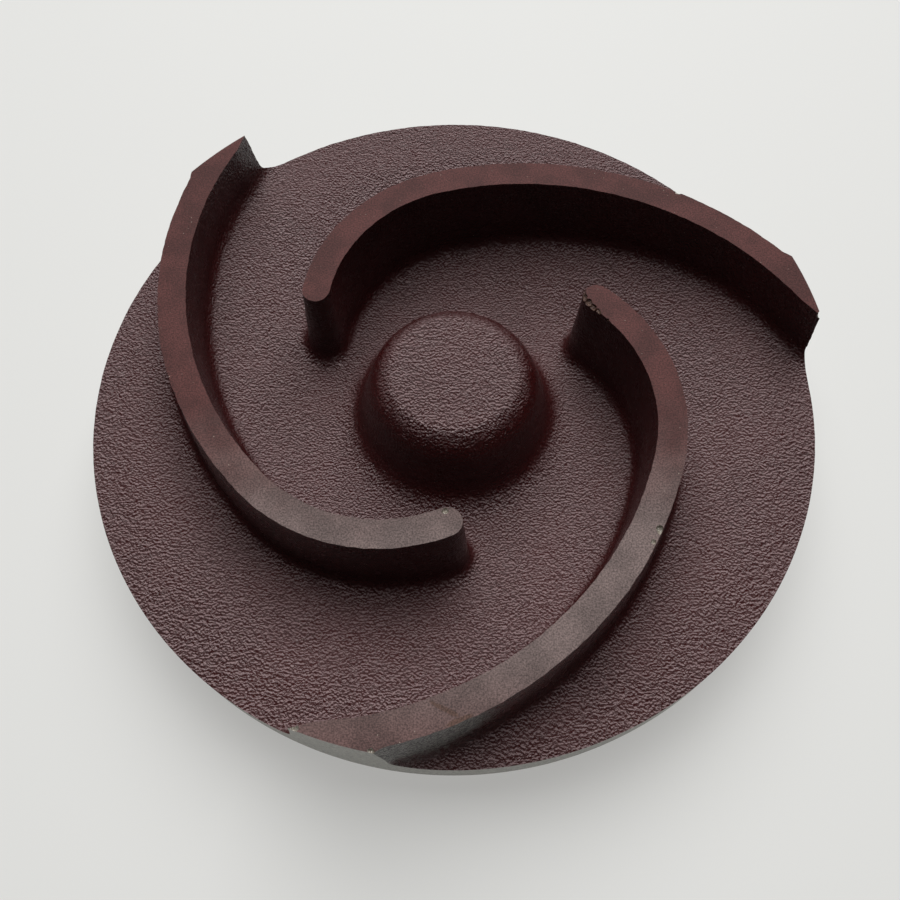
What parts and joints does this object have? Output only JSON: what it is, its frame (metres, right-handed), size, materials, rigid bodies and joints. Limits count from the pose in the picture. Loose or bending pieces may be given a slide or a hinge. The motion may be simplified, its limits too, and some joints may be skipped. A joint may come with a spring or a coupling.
{
  "type": "pump impeller",
  "caption": "Semi-open cast-iron pump impeller: a dished round plate with curved vanes, a closed front boss and a rear hub with a blind threaded bore.",
  "frame": {"origin": "centre of the hub's rear face, on which the impeller rests", "axes": "+Z along the shaft axis, towards the vanes and the suction side"},
  "size_m": [0.14, 0.14, 0.033],
  "materials": {
    "casting": "sand cast with a thin dark maroon baked coat, rim turned bare"
  },
  "bodies": {
    "root": {"impeller": "casting"}
  },
  "joints": []
}
